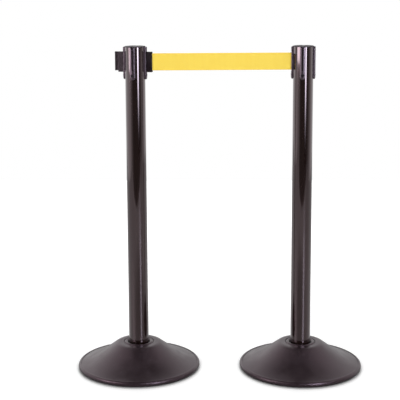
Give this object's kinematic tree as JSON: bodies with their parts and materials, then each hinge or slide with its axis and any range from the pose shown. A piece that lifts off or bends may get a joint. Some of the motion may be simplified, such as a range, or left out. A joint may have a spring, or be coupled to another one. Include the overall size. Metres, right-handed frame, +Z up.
{
  "type": "retractable belt stanchion",
  "caption": "Linked pair of retractable belt stanchions: weighted bell bases, round posts, slotted receiver heads, spring reels and a webbing belt with latching clips.",
  "frame": {"origin": "on the floor, midway between the axes of the two posts", "axes": "+X from the left post to the right post along the belt, +Y away from the front, +Z up"},
  "size_m": [0.872, 0.374, 0.991],
  "materials": {
    "cover": "fine-grained dark brown-grey moulding",
    "ballast": "cast concrete",
    "zinc_steel": "zinc-plated steel",
    "floor_rubber": "black rubber",
    "tube_paint": "gloss black powder coat",
    "cap_plastic": "black moulding, satin",
    "bright_steel": "ground steel",
    "cassette_plastic": "black glass-filled moulding",
    "rib_plastic": "black moulding, satin gloss",
    "black_screw": "black oxide",
    "reel_plastic": "natural nylon",
    "belt_webbing": "yellow woven polyester webbing",
    "bush_brass": "sintered bronze",
    "spring_steel": "blued spring steel",
    "clip_plastic": "black moulding"
  },
  "bodies": {
    "left_post": {"left_base_cover": "cover", "left_ballast": "ballast", "left_base_plate": "zinc_steel", "left_floor_ring": "floor_rubber", "left_tie_bolt": "zinc_steel", "left_washers": "zinc_steel", "left_foot_plug": "zinc_steel", "left_collar_gasket": "floor_rubber", "left_post_tube": "tube_paint", "left_top_cap": "cap_plastic", "left_cap_screw": "bright_steel", "left_cassette_body": "cassette_plastic", "left_cassette_lid": "cassette_plastic", "left_front_receiver": "rib_plastic", "left_back_receiver": "rib_plastic", "left_side_receiver": "rib_plastic", "left_mouth_guide": "rib_plastic", "left_rib_screws": "black_screw", "left_guide_pins": "bright_steel", "left_reel_shaft": "bright_steel", "left_spring_cup": "zinc_steel", "left_return_spring": "spring_steel", "left_belt": "belt_webbing"},
    "left_reel_drum": {"left_reel": "reel_plastic", "left_belt_coil": "belt_webbing", "left_reel_bushes": "bush_brass"},
    "left_belt_end": {"left_belt_clip": "clip_plastic", "left_clip_pin": "bright_steel"},
    "right_post": {"right_base_cover": "cover", "right_ballast": "ballast", "right_base_plate": "zinc_steel", "right_floor_ring": "floor_rubber", "right_tie_bolt": "zinc_steel", "right_washers": "zinc_steel", "right_foot_plug": "zinc_steel", "right_collar_gasket": "floor_rubber", "right_post_tube": "tube_paint", "right_top_cap": "cap_plastic", "right_cap_screw": "bright_steel", "right_cassette_body": "cassette_plastic", "right_cassette_lid": "cassette_plastic", "right_front_receiver": "rib_plastic", "right_back_receiver": "rib_plastic", "right_side_receiver": "rib_plastic", "right_mouth_guide": "rib_plastic", "right_rib_screws": "black_screw", "right_guide_pins": "bright_steel", "right_reel_shaft": "bright_steel", "right_spring_cup": "zinc_steel", "right_return_spring": "spring_steel", "right_belt": "belt_webbing"},
    "right_reel_drum": {"right_reel": "reel_plastic", "right_belt_coil": "belt_webbing", "right_reel_bushes": "bush_brass"},
    "right_belt_end": {"right_belt_clip": "clip_plastic", "right_clip_pin": "bright_steel"}
  },
  "joints": [
    {"name": "left_belt_pull", "type": "slide", "parent": "left_post", "child": "left_belt_end", "axis": [-0.9848, 0.1736, 0], "range_m": [0, 2.2], "stiffness_N_per_m": 3, "springref_m": -1, "deforming": ["left_belt"]},
    {"name": "left_reel_spin", "type": "hinge", "parent": "left_post", "child": "left_reel_drum", "pos_m": [-0.249, 0, 0.945], "axis": [0, 0, 1], "range_deg": [0, 8700], "deforming": ["left_return_spring"]},
    {"name": "right_post_travel", "type": "slide", "parent": "left_post", "child": "right_post", "axis": [1, 0, 0], "range_m": [-0.12, 1.79], "deforming": ["right_belt"]},
    {"name": "right_reel_spin", "type": "hinge", "parent": "right_post", "child": "right_reel_drum", "pos_m": [0.249, 0, 0.945], "axis": [0, 0, 1], "range_deg": [-500, 7400], "deforming": ["right_return_spring"]},
    {"name": "right_clip_lift", "type": "slide", "parent": "left_post", "child": "right_belt_end", "axis": [0, 0, 1], "range_m": [0, 0.075], "deforming": ["right_belt"]}
  ],
  "couplings": [
    {"joint": "left_reel_spin", "follows": "left_belt_pull", "rad_per_m": 68},
    {"joint": "right_reel_spin", "follows": "right_post_travel", "rad_per_m": 71.7}
  ]
}
